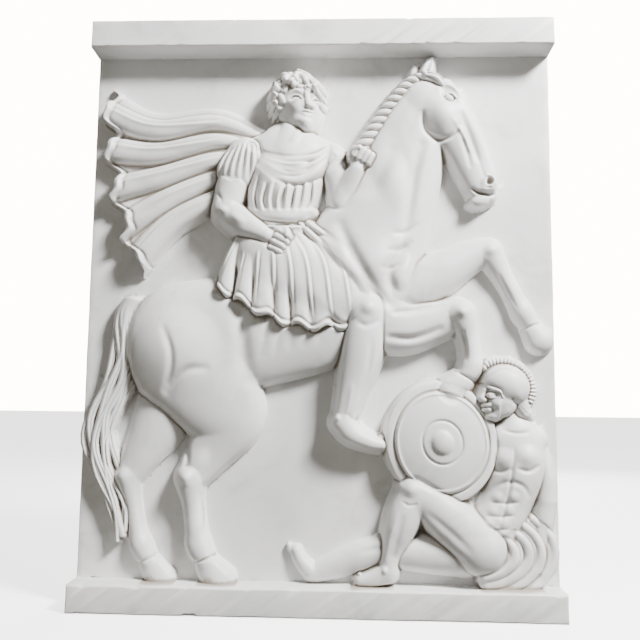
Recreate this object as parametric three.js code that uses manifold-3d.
// Marble relief plaque: one carved slab with a plain ledge above and below and a battle scene between them.
// Millimetres, +Z up, the carved face looks along -Y. The origin is the middle of the flat back.
import * as THREE from 'three';
import { mergeVertices } from 'three/addons/utils/BufferGeometryUtils.js';
import Module from 'manifold-3d';

// Driving dimensions
const HEIGHT = 1000;
const WIDTH = 0.8 * HEIGHT;
const SLAB = 0.042 * HEIGHT;
const LEDGE_REACH = 0.05 * HEIGHT;
const TOP_LEDGE = 0.048 * HEIGHT;
const BOTTOM_LEDGE = 0.045 * HEIGHT;

// The figures are laid out on a slab 1000 mm high and grow with it
const UNIT = HEIGHT / 1000;

// How the figures are cut
const WALL = 3.2;                 // slope of the sides, down to the ground of the relief
const UNDER = -14;                // height of an empty spot, safely inside the slab
const GROOVE = 2;                 // depth of the drilled line where two forms meet
const GROOVE_REACH = 7;           // height over which that line fades
const TUCK = 6 * UNIT;            // how far the field runs on inside each ledge
const GRID = 256;                 // finest steps across the field
const TOLERANCE = 6;               // largest depth error of the facets

const MARBLE = { color: 0xdedcd7, roughness: 0.42, metalness: 0 };

// ---------- cutting tools ----------

const lerp = (a, b, t) => a + (b - a) * t;
const clamp = (v, low, high) => Math.min(high, Math.max(low, v));
const wave = (turns) => Math.sin(2 * Math.PI * turns);
const arch = (t) => Math.sin(Math.PI * t);

function smoothMax(a, b, reach) {
  const near = Math.max(reach - Math.abs(a - b), 0);
  return Math.max(a, b) + (reach > 0 ? (near * near) / (4 * reach) : 0);
}

// A smooth run through stations of [x, z, radius, depth]
function smoothRun(stations, steps) {
  const run = [];
  const last = stations.length - 1;
  const at = (i, k) => {
    if (i < 0) return 2 * stations[0][k] - stations[1][k];
    if (i > last) return 2 * stations[last][k] - stations[last - 1][k];
    return stations[i][k];
  };
  for (let i = 0; i < last; i += 1) {
    for (let s = 0; s < steps; s += 1) {
      const t = s / steps;
      run.push(stations[0].map((_, k) => {
        const [a, b, c, d] = [at(i - 1, k), at(i, k), at(i + 1, k), at(i + 2, k)];
        const bend = 2 * a - 5 * b + 4 * c - d;
        const twist = 3 * b - a - 3 * c + d;
        return 0.5 * (2 * b + (c - a) * t + bend * t * t + twist * t * t * t);
      }));
    }
  }
  run.push(stations[last]);
  return run;
}

// The height of one carved form over the ground of the relief, on the grid of the field
class Form {
  constructor(field) {
    this.field = field;
    this.heights = new Float64Array(field.count).fill(UNDER);
  }

  // Calls visit(index, x, z) for the grid points inside a box
  visit(x0, x1, z0, z1, visit) {
    const { xs, zs, side } = this.field;
    const first = (values, low) => values.findIndex((v) => v >= low);
    const i0 = first(xs, x0);
    const j0 = first(zs, z0);
    if (i0 < 0 || j0 < 0) return;
    for (let j = j0; j < side && zs[j] <= z1; j += 1) {
      for (let i = i0; i < side && xs[i] <= x1; i += 1) visit(j * side + i, xs[i], zs[j]);
    }
  }

  // A limb, lock or fold: a rounded run of changing radius, standing on steep sides
  run(stations, { roundness = 0.8, blend = 5, steps = 6 } = {}) {
    const path = smoothRun(stations, steps);
    const part = new Map();
    for (let k = 1; k < path.length; k += 1) {
      const [ax, az, ar, ad] = path[k - 1];
      const [bx, bz, br, bd] = path[k];
      const margin = Math.max(ar, br) + (Math.max(ad, bd) - UNDER) / WALL;
      const [dx, dz] = [bx - ax, bz - az];
      const length2 = Math.max(dx * dx + dz * dz, 1e-9);
      const box = [Math.min(ax, bx) - margin, Math.max(ax, bx) + margin,
        Math.min(az, bz) - margin, Math.max(az, bz) + margin];
      this.visit(...box, (index, x, z) => {
        const t = clamp(((x - ax) * dx + (z - az) * dz) / length2, 0, 1);
        const away = Math.hypot(x - ax - t * dx, z - az - t * dz);
        const radius = lerp(ar, br, t);
        const q = Math.min(away / radius, 1);
        const rise = roundness * radius * Math.sqrt(1 - q * q) - WALL * Math.max(away - radius, 0);
        const height = lerp(ad, bd, t) + rise;
        if (height > (part.get(index) ?? UNDER)) part.set(index, height);
      });
    }
    for (const [index, height] of part) this.heights[index] = smoothMax(this.heights[index], height, blend);
  }

  // An oval boss, turned by an angle in degrees
  boss([x0, z0], [rx, rz], turn, depth, rise, blend = 5) {
    const margin = Math.max(rx, rz) + (depth - UNDER) / WALL;
    const [c, s] = [Math.cos(turn * Math.PI / 180), Math.sin(turn * Math.PI / 180)];
    this.visit(x0 - margin, x0 + margin, z0 - margin, z0 + margin, (index, x, z) => {
      const u = ((x - x0) * c + (z - z0) * s) / rx;
      const v = (-(x - x0) * s + (z - z0) * c) / rz;
      const q = Math.hypot(u, v);
      const side = WALL * Math.max(q - 1, 0) * Math.min(rx, rz);
      const height = depth + rise * Math.sqrt(1 - Math.min(q, 1) ** 2) - side;
      this.heights[index] = smoothMax(this.heights[index], height, blend);
    });
  }

  // A soft swelling of a muscle, or with a negative rise a hollow
  swell([x0, z0], [rx, rz], turn, rise) {
    const reach = Math.max(rx, rz);
    const [c, s] = [Math.cos(turn * Math.PI / 180), Math.sin(turn * Math.PI / 180)];
    this.visit(x0 - reach, x0 + reach, z0 - reach, z0 + reach, (index, x, z) => {
      const u = ((x - x0) * c + (z - z0) * s) / rx;
      const v = (-(x - x0) * s + (z - z0) * c) / rz;
      this.heights[index] += rise * (1 - Math.min(u * u + v * v, 1)) ** 2;
    });
  }

  // A soft groove along a curve, thinning out at both ends
  groove(points, width, depth) {
    const path = smoothRun(points, 5);
    const part = new Map();
    const reach = 2.4 * width;
    for (let k = 1; k < path.length; k += 1) {
      const [[ax, az], [bx, bz]] = [path[k - 1], path[k]];
      const [dx, dz] = [bx - ax, bz - az];
      const length2 = Math.max(dx * dx + dz * dz, 1e-9);
      const box = [Math.min(ax, bx) - reach, Math.max(ax, bx) + reach,
        Math.min(az, bz) - reach, Math.max(az, bz) + reach];
      this.visit(...box, (index, x, z) => {
        const t = clamp(((x - ax) * dx + (z - az) * dz) / length2, 0, 1);
        const away = Math.hypot(x - ax - t * dx, z - az - t * dz);
        const along = (k - 1 + t) / (path.length - 1);
        const fade = Math.sqrt(clamp(Math.min(along, 1 - along) / 0.35, 0, 1));
        const cut = fade * Math.exp(-((away / width) ** 2));
        if (cut > (part.get(index) ?? 0)) part.set(index, cut);
      });
    }
    for (const [index, cut] of part) this.heights[index] -= depth * cut;
  }

  // Cuts the form off where outside(x, z) is positive, in mm past the edge
  trim(outside) {
    const { xs, zs, side } = this.field;
    this.heights.forEach((height, index) => {
      const past = outside(xs[index % side], zs[Math.floor(index / side)]);
      if (past > 0) this.heights[index] = Math.min(height, 14 - WALL * past);
    });
  }
}

// ---------- horse ----------

function farHindLeg(form) {
  form.run([[-245, -120, 74, 4], [-262, -195, 50, 5], [-296, -250, 32, 6], [-318, -288, 24, 6]]);
  form.run([[-318, -288, 23, 6], [-308, -330, 15, 6], [-298, -375, 15, 6], [-290, -400, 19, 6],
    [-276, -424, 15, 6]], { roundness: 0.9 });
  form.run([[-272, -432, 20, 5], [-258, -452, 28, 4]]);
}

function farForeleg(form) {
  form.run([[120, 20, 50, 6], [205, 60, 38, 8], [262, 92, 27, 8], [290, 98, 25, 8]]);
  form.run([[292, 94, 23, 8], [316, 50, 16, 8], [336, 12, 16, 8], [346, -6, 19, 8], [356, -24, 15, 8]],
    { roundness: 0.9 });
  form.run([[359, -30, 18, 8], [372, -52, 24, 7]]);
}

function horse(form) {
  const body = { roundness: 0.34, blend: 0 };
  form.run([[-228, -62, 104, 12], [-160, -46, 99, 12], [-85, -30, 98, 12], [-10, -2, 104, 13],
    [62, 42, 108, 14]], body);
  form.run([[70, 78, 102, 13], [108, 160, 85, 16], [141, 245, 68, 19], [160, 318, 54, 21], [176, 360, 43, 21]],
    { roundness: 0.36, blend: 14 });
  horseHead(form);
  nearHindLeg(form);
  nearForeleg(form);
  horseMuscles(form);
}

function horseHead(form) {
  form.run([[180, 366, 38, 18], [216, 330, 43, 20], [246, 276, 32, 19], [268, 226, 26, 18], [279, 203, 25, 17]],
    { roundness: 0.62, blend: 8 });
  form.run([[178, 398, 14, 22], [187, 420, 11, 24], [196, 440, 3, 24]], { blend: 3 });
  form.run([[160, 398, 10, 12], [163, 418, 8, 12], [168, 432, 3, 12]], { blend: 2 });
  form.swell([222, 362], [20, 13], -50, -6);
  form.swell([222, 360], [10, 9], 0, 10);
  form.swell([289, 213], [7, 10], -35, -7);
  form.groove([[182, 322], [196, 292], [222, 286], [238, 300]], 5, 4);
  form.groove([[232, 350], [252, 302], [274, 244]], 5, 3);
}

function nearHindLeg(form) {
  form.run([[-224, -90, 94, 16], [-176, -146, 78, 16], [-150, -186, 58, 16], [-176, -238, 38, 16],
    [-210, -286, 26, 18]], { roundness: 0.4, blend: 14 });
  form.run([[-211, -288, 25, 16], [-205, -330, 16, 15], [-199, -372, 16, 15], [-194, -398, 20, 14],
    [-180, -422, 16, 14]], { roundness: 0.9, blend: 6 });
  form.run([[-176, -431, 21, 12], [-160, -452, 30, 10]], { roundness: 0.7, blend: 4 });
}

function nearForeleg(form) {
  form.run([[76, -4, 66, 16], [140, -28, 48, 18], [196, -22, 33, 21], [234, -10, 27, 23]],
    { roundness: 0.5, blend: 14 });
  form.run([[240, -12, 26, 23], [251, -48, 16, 22], [257, -82, 16, 22], [257, -98, 19, 22],
    [246, -116, 15, 24]], { roundness: 0.9, blend: 6 });
  form.run([[240, -122, 19, 26], [222, -140, 26, 24]], { roundness: 0.75, blend: 4 });
}

function horseMuscles(form) {
  form.swell([-235, -70], [78, 95], 35, 6);
  form.groove([[-142, 40], [-128, -20], [-122, -80], [-112, -125]], 13, 5);
  form.groove([[-255, -150], [-215, -110], [-175, -105]], 7, 3);
  form.groove([[32, 150], [58, 90], [100, 20], [128, 0]], 10, 5);
  form.groove([[150, 110], [120, 60], [132, 12]], 8, 4);
  form.swell([92, 70], [44, 70], -25, 5);
  form.groove([[178, 290], [160, 220], [150, 150], [140, 110]], 9, 5);
  form.groove([[-232, -196], [-216, -240], [-214, -270]], 5, 4);
  form.groove([[110, -50], [160, -52], [212, -32]], 6, 4);
}

// The mane is a twisted roll along the crest of the neck
function mane(form) {
  const crest = [[28, 192], [56, 246], [84, 296], [112, 340], [138, 374], [162, 396], [182, 402]];
  const last = crest.length - 1;
  form.run(crest.map(([x, z], k) => [x, z, lerp(15, 12, k / last), 26]), { roundness: 0.9, blend: 0 });
}

function tail(form) {
  const locks = 4;
  const steps = 14;
  for (let i = 0; i < locks; i += 1) {
    const across = i / (locks - 1) - 0.5;
    const stations = [];
    for (let k = 0; k <= steps; k += 1) {
      const s = k / steps;
      const leave = Math.min(1, 4 * s);
      const width = 44 * arch(0.12 + 0.8 * s) ** 0.7;
      const sway = 22 * wave(1.35 * s - 0.12) * leave + 4 * wave(2.2 * s + 0.4 * i) * leave;
      stations.push([lerp(-318, -352, leave) + sway + across * width, 10 - 400 * s ** 1.15,
        11 * (1 - 0.65 * s ** 4), 12 + 6 * (1 - 4 * across * across)]);
    }
    form.run(stations, { roundness: 0.8, blend: 2, steps: 2 });
  }
}

// ---------- rider ----------

function riderTrunk(form) {
  form.run([[-74, 92, 60, 22], [-72, 140, 54, 24], [-66, 185, 57, 24], [-60, 235, 69, 22], [-54, 268, 58, 20]],
    { roundness: 0.5, blend: 0 });
  form.run([[-130, 258, 32, 20], [-56, 278, 33, 24], [16, 260, 29, 18]], { roundness: 0.7, blend: 12 });
  tunicOnChest(form);
}

function tunicOnChest(form) {
  const folds = 6;
  for (let i = 0; i < folds; i += 1) {
    const t = i / (folds - 1);
    form.run([[lerp(-108, -12, t), 236, 4, 40], [lerp(-106, -20, t), 205, 7, 45], [lerp(-114, -18, t), 172, 8, 44]],
      { roundness: 0.9, blend: 4, steps: 3 });
  }
  form.groove([[-130, 155], [-92, 143], [-50, 142], [-6, 154]], 4, 7);
}

// The cloak crosses the chest in hanging folds and is pinned at the near shoulder
function cloakOnChest(form) {
  const folds = 4;
  for (let i = 0; i < folds; i += 1) {
    const t = i / (folds - 1);
    const dip = lerp(270, 212, t);
    form.run([[-122, 268 - 4 * i, 7, 34], [-84, dip + 14, 10, 42], [-44, dip, 11, 45], [-6, dip + 16, 10, 41],
      [22, 268 - 3 * i, 6, 28]], { roundness: 0.9, blend: 3, steps: 4 });
  }
  form.boss([-116, 270], [13, 13], 0, 46, 10, 2);
}

function riderHead(form) {
  form.run([[-52, 276, 27, 30], [-42, 318, 25, 30]], { blend: 0 });
  form.boss([-44, 364], [42, 45], 0, 22, 36, 4);
  form.boss([-30, 345], [34, 43], -6, 24, 36);
  form.run([[-58, 330, 16, 30], [-44, 312, 15, 34], [-22, 306, 11, 42]], { roundness: 0.9, blend: 8 });
  form.run([[-20, 358, 5, 54], [-16, 346, 6, 56], [-14, 337, 8, 57]], { roundness: 0.9 });
  form.swell([-40, 355], [14, 9], 0, -6);
  form.swell([-4, 355], [12, 9], 0, -6);
  riderHair(form);
}

// Short curls stand in rings round the crown and leave the face free
function riderHair(form) {
  const rings = 3;
  for (let ring = 0; ring < rings; ring += 1) {
    const reach = 1 - ring / rings;
    const curls = 4 + Math.round(9 * reach);
    for (let i = 0; i < curls; i += 1) {
      const angle = 2 * Math.PI * (i + 0.5 * (ring % 2)) / curls;
      const x = -44 + 42 * reach * Math.cos(angle);
      const z = 368 + 41 * reach * Math.sin(angle);
      const onFace = (x > -58 && z < 372) || z < 326;
      const depth = 24 + 33 * Math.sqrt(1 - 0.92 * reach * reach);
      if (!onFace) form.boss([x, z], [13, 11], 50 * i, depth, 6, 2);
    }
  }
}

function riderLeg(form) {
  form.run([[-92, 98, 54, 24], [-20, 66, 48, 26], [45, 20, 41, 32], [78, -4, 35, 36]],
    { roundness: 0.6, blend: 0 });
  form.run([[82, -14, 32, 37], [74, -72, 33, 36], [58, -135, 23, 34], [46, -180, 17, 32]],
    { roundness: 0.7, blend: 8 });
  form.run([[43, -192, 19, 31], [58, -210, 17, 30], [88, -224, 13, 28], [108, -228, 10, 27]]);
  form.swell([86, -2], [18, 18], 0, 4);
}

// The skirt of the tunic fans from the belt over hip and thigh
function skirt(form) {
  form.run([[-80, 124, 48, 24], [-84, 92, 58, 25], [-30, 66, 54, 28], [30, 28, 46, 33]],
    { roundness: 0.5, blend: 0 });
  const folds = 8;
  for (let i = 0; i < folds; i += 1) {
    const t = i / (folds - 1);
    const [beltX, beltZ] = [lerp(-116, -22, t), 142];
    const [hemX, hemZ] = [lerp(-148, 58, t), lerp(44, -4, t) - 26 * arch(t)];
    const depth = 32 + 18 * arch(Math.min(1, 0.2 + 0.75 * t));
    form.run([[beltX, beltZ, 6, 38],
      [lerp(beltX, hemX, 0.5) + lerp(-8, 20, t), lerp(beltZ, hemZ, 0.5) + lerp(0, 26, t), 10, lerp(38, depth, 0.85)],
      [hemX, hemZ, 14, depth]], { roundness: 0.9, blend: 4, steps: 5 });
  }
}

function nearArm(form) {
  form.run([[-130, 254, 32, 30], [-148, 212, 28, 32], [-160, 168, 24, 32]], { blend: 0 });
  form.run([[-160, 166, 24, 32], [-124, 136, 23, 40], [-86, 116, 17, 48]], { blend: 8 });
  form.boss([-68, 110], [24, 21], -20, 50, 18);
  const folds = 4;
  for (let i = 0; i < folds; i += 1) {
    const t = i / (folds - 1);
    form.run([[lerp(-108, -146, t), 276 - 6 * t, 6, 40], [lerp(-114, -176, t), lerp(216, 226, t), 11, 42 - 6 * t]],
      { roundness: 0.9, blend: 4, steps: 4 });
  }
}

function farArm(form) {
  form.run([[16, 258, 28, 14], [34, 215, 24, 16], [38, 180, 21, 20]], { blend: 0 });
  form.run([[38, 178, 20, 20], [52, 212, 19, 28], [66, 236, 15, 38]], { blend: 8 });
  form.boss([74, 252], [20, 19], 30, 44, 16);
}

// The cloak streams back from the shoulders in folds that open towards a scalloped hem
function cloak(form) {
  const folds = 9;
  for (let i = 0; i < folds; i += 1) {
    const t = i / (folds - 1);
    const [pinX, pinZ] = [lerp(-88, -112, t), lerp(304, 228, t)];
    const [hemX, hemZ] = [lerp(-392, -330, t), lerp(384, 62, t)];
    form.run([[pinX, pinZ, 7, 14],
      [lerp(pinX, hemX, 0.3), lerp(pinZ, hemZ, 0.2) + lerp(20, -4, t), 12, 18 + 4 * (i % 2)],
      [lerp(pinX, hemX, 0.66), lerp(pinZ, hemZ, 0.6) - lerp(22, -16, t), 19, 15 + 6 * (i % 2)],
      [hemX, hemZ, 24, 12 + 6 * (i % 2)]], { roundness: 0.62, blend: 2, steps: 6 });
  }
  form.trim((x, z) => {
    const across = clamp((384 - z) / 322, 0, 1);
    const scallop = 9 * Math.cos(8 * Math.PI * across);
    return lerp(-368, -300, across) - 20 * arch(across) - scallop - x;
  });
}

// ---------- fallen shield bearer ----------

function bearerTrunk(form) {
  form.run([[326, -215, 44, 10], [330, -258, 49, 12], [310, -322, 40, 12], [275, -385, 46, 12]],
    { roundness: 0.6, blend: 0 });
  form.run([[296, -216, 25, 14], [354, -220, 27, 10]], { blend: 8 });
  form.run([[322, -200, 21, 14], [314, -172, 19, 16]], { blend: 4 });
  form.groove([[320, -232], [316, -290], [294, -350]], 4, 3);
  form.groove([[286, -262], [316, -272], [356, -262]], 4, 3);
}

function bearerHead(form) {
  form.boss([300, -146], [30, 33], 0, 22, 24, 0);
  form.run([[288, -168, 12, 24], [276, -174, 9, 26]], { roundness: 0.9 });
  form.run([[274, -134, 5, 30], [268, -146, 5, 32], [265, -152, 5, 32]], { roundness: 0.9, blend: 3 });
}

function helmet(form) {
  form.boss([306, -132], [36, 33], -20, 28, 26, 0);
  form.run([[312, -150, 17, 34], [302, -166, 11, 36], [294, -176, 5, 36]], { roundness: 0.7, blend: 4 });
  form.run([[322, -142, 20, 28], [338, -170, 12, 20]], { roundness: 0.7, blend: 4 });
  form.trim((x, z) => Math.min(296 - x, -134 - 0.3 * (x - 270) - z));
}

function crest(form) {
  const stations = [];
  for (let angle = 128; angle >= -52; angle -= 18) {
    const [u, v] = [Math.cos(angle * Math.PI / 180), Math.sin(angle * Math.PI / 180)];
    stations.push([306 + 46 * u, -134 + 44 * v, 9 + 3 * (120 - angle) / 140, 20]);
  }
  form.run(stations, { roundness: 0.9, blend: 0, steps: 2 });
}

function bearerFarArm(form) {
  form.run([[354, -226, 25, 8], [374, -280, 20, 8], [378, -315, 17, 8]], { blend: 0 });
  form.run([[378, -315, 17, 8], [370, -365, 16, 8], [360, -415, 12, 8]], { blend: 4 });
  form.boss([352, -438], [20, 12], 0, 8, 12, 4);
}

function bearerNearLeg(form) {
  form.run([[268, -392, 44, 22], [215, -345, 38, 24], [168, -305, 29, 26], [160, -300, 28, 26]], { blend: 0 });
  form.run([[160, -304, 27, 26], [142, -350, 27, 26], [124, -400, 18, 24], [118, -428, 15, 24]], { blend: 6 });
  form.run([[116, -434, 16, 24], [94, -444, 12, 24], [70, -448, 9, 22]], { blend: 4 });
}

function bearerFarLeg(form) {
  form.run([[250, -402, 38, 8], [175, -402, 31, 8], [110, -398, 25, 8]], { blend: 0 });
  form.run([[110, -398, 24, 8], [50, -418, 22, 8], [2, -438, 14, 8]]);
  form.run([[-6, -438, 14, 8], [-24, -418, 11, 8], [-34, -398, 8, 8]], { blend: 4 });
}

// A cloth spreads from the bearer's hip over the ground in arcs
function lapCloth(form) {
  const arcs = 6;
  const steps = 8;
  for (let i = 0; i < arcs; i += 1) {
    const t = i / (arcs - 1);
    const radius = lerp(52, 128, t);
    const stations = [];
    for (let k = 0; k <= steps; k += 1) {
      const angle = lerp(38, -78, k / steps) * Math.PI / 180;
      stations.push([262 + radius * Math.cos(angle), -396 + 0.62 * radius * Math.sin(angle), 11,
        12 + 16 * (1 - t) + 3 * (i % 2)]);
    }
    form.run(stations, { blend: 2, steps: 2 });
  }
}

function shield(form) {
  form.boss([205, -222], [90, 98], 12, 32, 6, 0);
  form.boss([205, -222], [76, 84], 12, 26, 20, 3);
  form.boss([205, -222], [20, 22], 12, 44, 10, 3);
}

// Every form from the ground up
const FORMS = [farHindLeg, farForeleg, tail, cloak, bearerFarArm, bearerFarLeg, lapCloth, bearerTrunk, shield,
  bearerNearLeg, bearerHead, crest, helmet, horse, mane, farArm, riderTrunk, cloakOnChest, riderHead, riderLeg,
  skirt, nearArm];

// ---------- field of the relief ----------

function carveField() {
  const side = GRID + 1;
  const halfWidth = WIDTH / 2;
  const low = BOTTOM_LEDGE - HEIGHT / 2 - TUCK;
  const high = HEIGHT / 2 - TOP_LEDGE + TUCK;
  const spread = (from, to) => Array.from({ length: side }, (_, i) => lerp(from, to, i / GRID) / UNIT);
  const field = { side, count: side * side, xs: spread(-halfWidth, halfWidth), zs: spread(low, high) };
  const heights = new Float64Array(field.count);
  for (const carve of FORMS) {
    const form = new Form(field);
    carve(form);
    heights.forEach((height, index) => {
      const other = form.heights[index];
      const gap = (height - other) / GROOVE_REACH;
      const top = Math.max(height, other);
      heights[index] = top - (top > 0.5 ? GROOVE * Math.exp(-gap * gap) : 0);
    });
  }
  const edge = (index) => Math.min(index % side, GRID - (index % side)) === 0;
  return { ...field, heights: heights.map((height, index) => (edge(index) ? 0 : Math.max(height, 0))) };
}

// Right triangles, halved only where one facet would miss the carved surface by more than the tolerance
function facets({ side, heights }) {
  const id = (p) => p[1] * side + p[0];
  const middle = (a, b) => [(a[0] + b[0]) / 2, (a[1] + b[1]) / 2];
  const halves = ([a, b, c]) => [[c, a, middle(a, b)], [b, c, middle(a, b)]];
  const canSplit = ([a, , c]) => Math.abs(a[0] - c[0]) + Math.abs(a[1] - c[1]) > 1;
  const corner = [[0, 0], [GRID, 0], [GRID, GRID], [0, GRID]];
  const roots = [[corner[0], corner[2], corner[1]], [corner[2], corner[0], corner[3]]];
  const levels = [roots];
  while (canSplit(levels.at(-1)[0])) levels.push(levels.at(-1).flatMap(halves));
  const errors = new Float64Array(side * side);
  for (const level of levels.slice(0, -1).reverse()) {
    for (const triangle of level) {
      const [a, b, c] = triangle;
      const m = id(middle(a, b));
      const own = Math.abs((heights[id(a)] + heights[id(b)]) / 2 - heights[m]);
      const below = halves(triangle).filter(canSplit).map(([p, q]) => errors[id(middle(p, q))]);
      errors[m] = Math.max(errors[m], own, ...below);
    }
  }
  const list = [];
  const walk = (triangle) => {
    const [a, b] = triangle;
    if (canSplit(triangle) && errors[id(middle(a, b))] > TOLERANCE) halves(triangle).forEach(walk);
    else list.push(triangle.map(id).reverse());
  };
  roots.forEach(walk);
  return list;
}

// The slab with its carved face: the skin, flat sides, and a back drawn as a fan round its middle
function reliefGeometry(field) {
  const triangles = facets(field);
  const positions = [];
  const push = (index, depth) => {
    positions.push(field.xs[index % field.side] * UNIT, depth, field.zs[Math.floor(index / field.side)] * UNIT);
  };
  const front = (index) => push(index, -SLAB - field.heights[index] * UNIT);
  const back = (index) => push(index, 0);
  const edges = new Map();
  for (const [a, b, c] of triangles) {
    [a, b, c].forEach(front);
    for (const [p, q] of [[a, b], [b, c], [c, a]]) {
      if (!edges.delete(`${q} ${p}`)) edges.set(`${p} ${q}`, [p, q]);
    }
  }
  const middle = (field.count - 1) / 2;
  for (const [p, q] of edges.values()) {
    front(q);
    front(p);
    back(p);
    front(q);
    back(p);
    back(q);
    back(q);
    back(p);
    back(middle);
  }
  const geometry = new THREE.BufferGeometry();
  geometry.setAttribute('position', new THREE.Float32BufferAttribute(positions, 3));
  return geometry;
}

// ---------- one solid ----------

const wasm = await Module();
wasm.setup();

function solidOf(geometry) {
  const bare = geometry.index ? geometry.toNonIndexed() : geometry;
  bare.deleteAttribute('normal');
  bare.deleteAttribute('uv');
  const merged = mergeVertices(bare, 1e-4);
  return new wasm.Manifold(new wasm.Mesh({
    numProp: 3,
    vertProperties: merged.getAttribute('position').array,
    triVerts: new Uint32Array(merged.getIndex().array),
  }));
}

function block(width, depth, height, z) {
  return solidOf(new THREE.BoxGeometry(width, depth, height).translate(0, -depth / 2, z));
}

function geometryOf(solid) {
  const mesh = solid.getMesh();
  const geometry = new THREE.BufferGeometry();
  geometry.setAttribute('position', new THREE.BufferAttribute(mesh.vertProperties, mesh.numProp));
  geometry.setIndex(new THREE.BufferAttribute(mesh.triVerts, 1));
  return geometry;
}

const topLedge = block(WIDTH, SLAB + LEDGE_REACH, TOP_LEDGE, (HEIGHT - TOP_LEDGE) / 2);
const bottomLedge = block(WIDTH, SLAB + LEDGE_REACH, BOTTOM_LEDGE, (BOTTOM_LEDGE - HEIGHT) / 2);
const relief = solidOf(reliefGeometry(carveField()));

const plaque = new THREE.Mesh(
  geometryOf(relief.add(topLedge).add(bottomLedge)),
  new THREE.MeshStandardMaterial(MARBLE),
);
plaque.name = 'relief_plaque';

const part = new THREE.Group();
part.add(plaque);

export default part;
